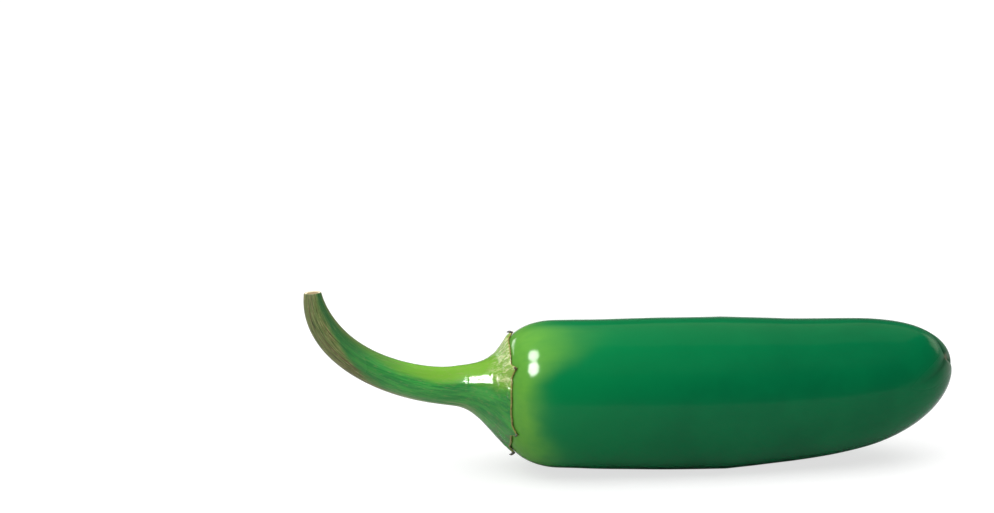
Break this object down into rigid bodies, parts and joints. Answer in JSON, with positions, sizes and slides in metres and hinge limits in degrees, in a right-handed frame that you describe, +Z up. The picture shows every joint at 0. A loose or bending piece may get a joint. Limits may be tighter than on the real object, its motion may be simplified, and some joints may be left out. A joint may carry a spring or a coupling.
{
  "type": "chilli pepper",
  "caption": "Fresh green chilli pepper lying on its side: tapering glossy pod with a blunt tip, toothed calyx cap and long curved stem with a cut end.",
  "frame": {"origin": "on the surface the fruit lies on, under the middle of its bounding box", "axes": "+X along the pod from the stem end to the blossom end, +Y across the pod to the back, +Z up"},
  "size_m": [0.1236, 0.029, 0.0358],
  "materials": {
    "pod_skin": "gloss",
    "calyx_leaf": "satin",
    "stem_skin": "satin"
  },
  "bodies": {
    "root": {"pod": "pod_skin", "calyx": "calyx_leaf", "stem": "stem_skin"}
  },
  "joints": []
}
